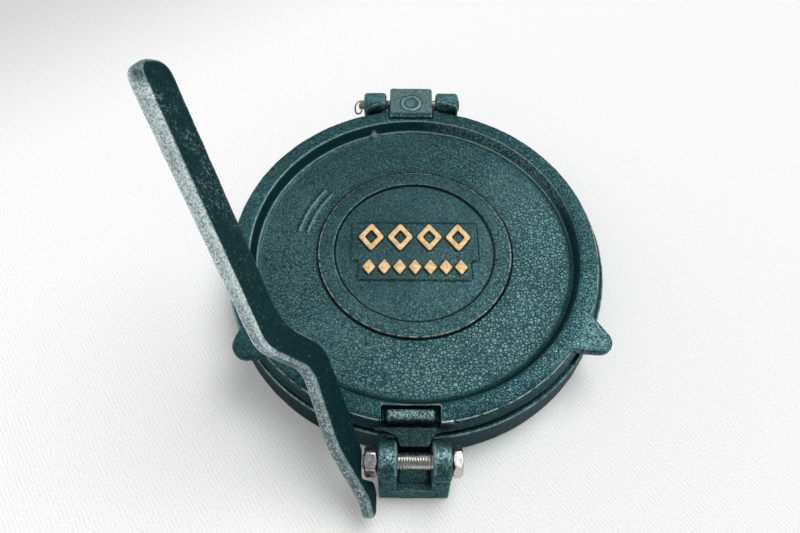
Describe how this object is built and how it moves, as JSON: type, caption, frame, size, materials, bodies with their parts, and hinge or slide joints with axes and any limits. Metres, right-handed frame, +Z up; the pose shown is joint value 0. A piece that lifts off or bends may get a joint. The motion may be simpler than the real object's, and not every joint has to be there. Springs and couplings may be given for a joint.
{
  "type": "poori press",
  "caption": "Round cast-iron dough press: a base and a rear-hinged dished lid with a front fork and bolt, and a loose bent lever that presses the lid shut.",
  "frame": {"origin": "on the table, under the centre of the two round plates", "axes": "+X to the right seen from the fork side, +Y from the fork to the rear hinge, +Z up out of the lid"},
  "size_m": [0.227, 0.2605, 0.1497],
  "materials": {
    "painted_iron": "dark teal hammertone paint",
    "lever_iron": "dark green satin paint, speckled",
    "zinc_steel": "bright zinc plate",
    "pin_steel": "plain steel, dull"
  },
  "bodies": {
    "base": {"base": "painted_iron", "fork_bolt": "zinc_steel", "fork_nut": "zinc_steel", "hinge_pin": "pin_steel", "split_pin": "pin_steel"},
    "lid": {"lid": "painted_iron"},
    "lever": {"lever": "lever_iron"}
  },
  "joints": [
    {"name": "lid_hinge", "type": "hinge", "parent": "base", "child": "lid", "pos_m": [0, 0.1086, 0.029], "axis": [-1, 0, 0], "range_deg": [0, 105]},
    {"name": "lever_swing", "type": "hinge", "parent": "lid", "child": "lever", "pos_m": [0, -0.1169, 0.024], "axis": [1, 0, 0], "range_deg": [0, 34]}
  ]
}
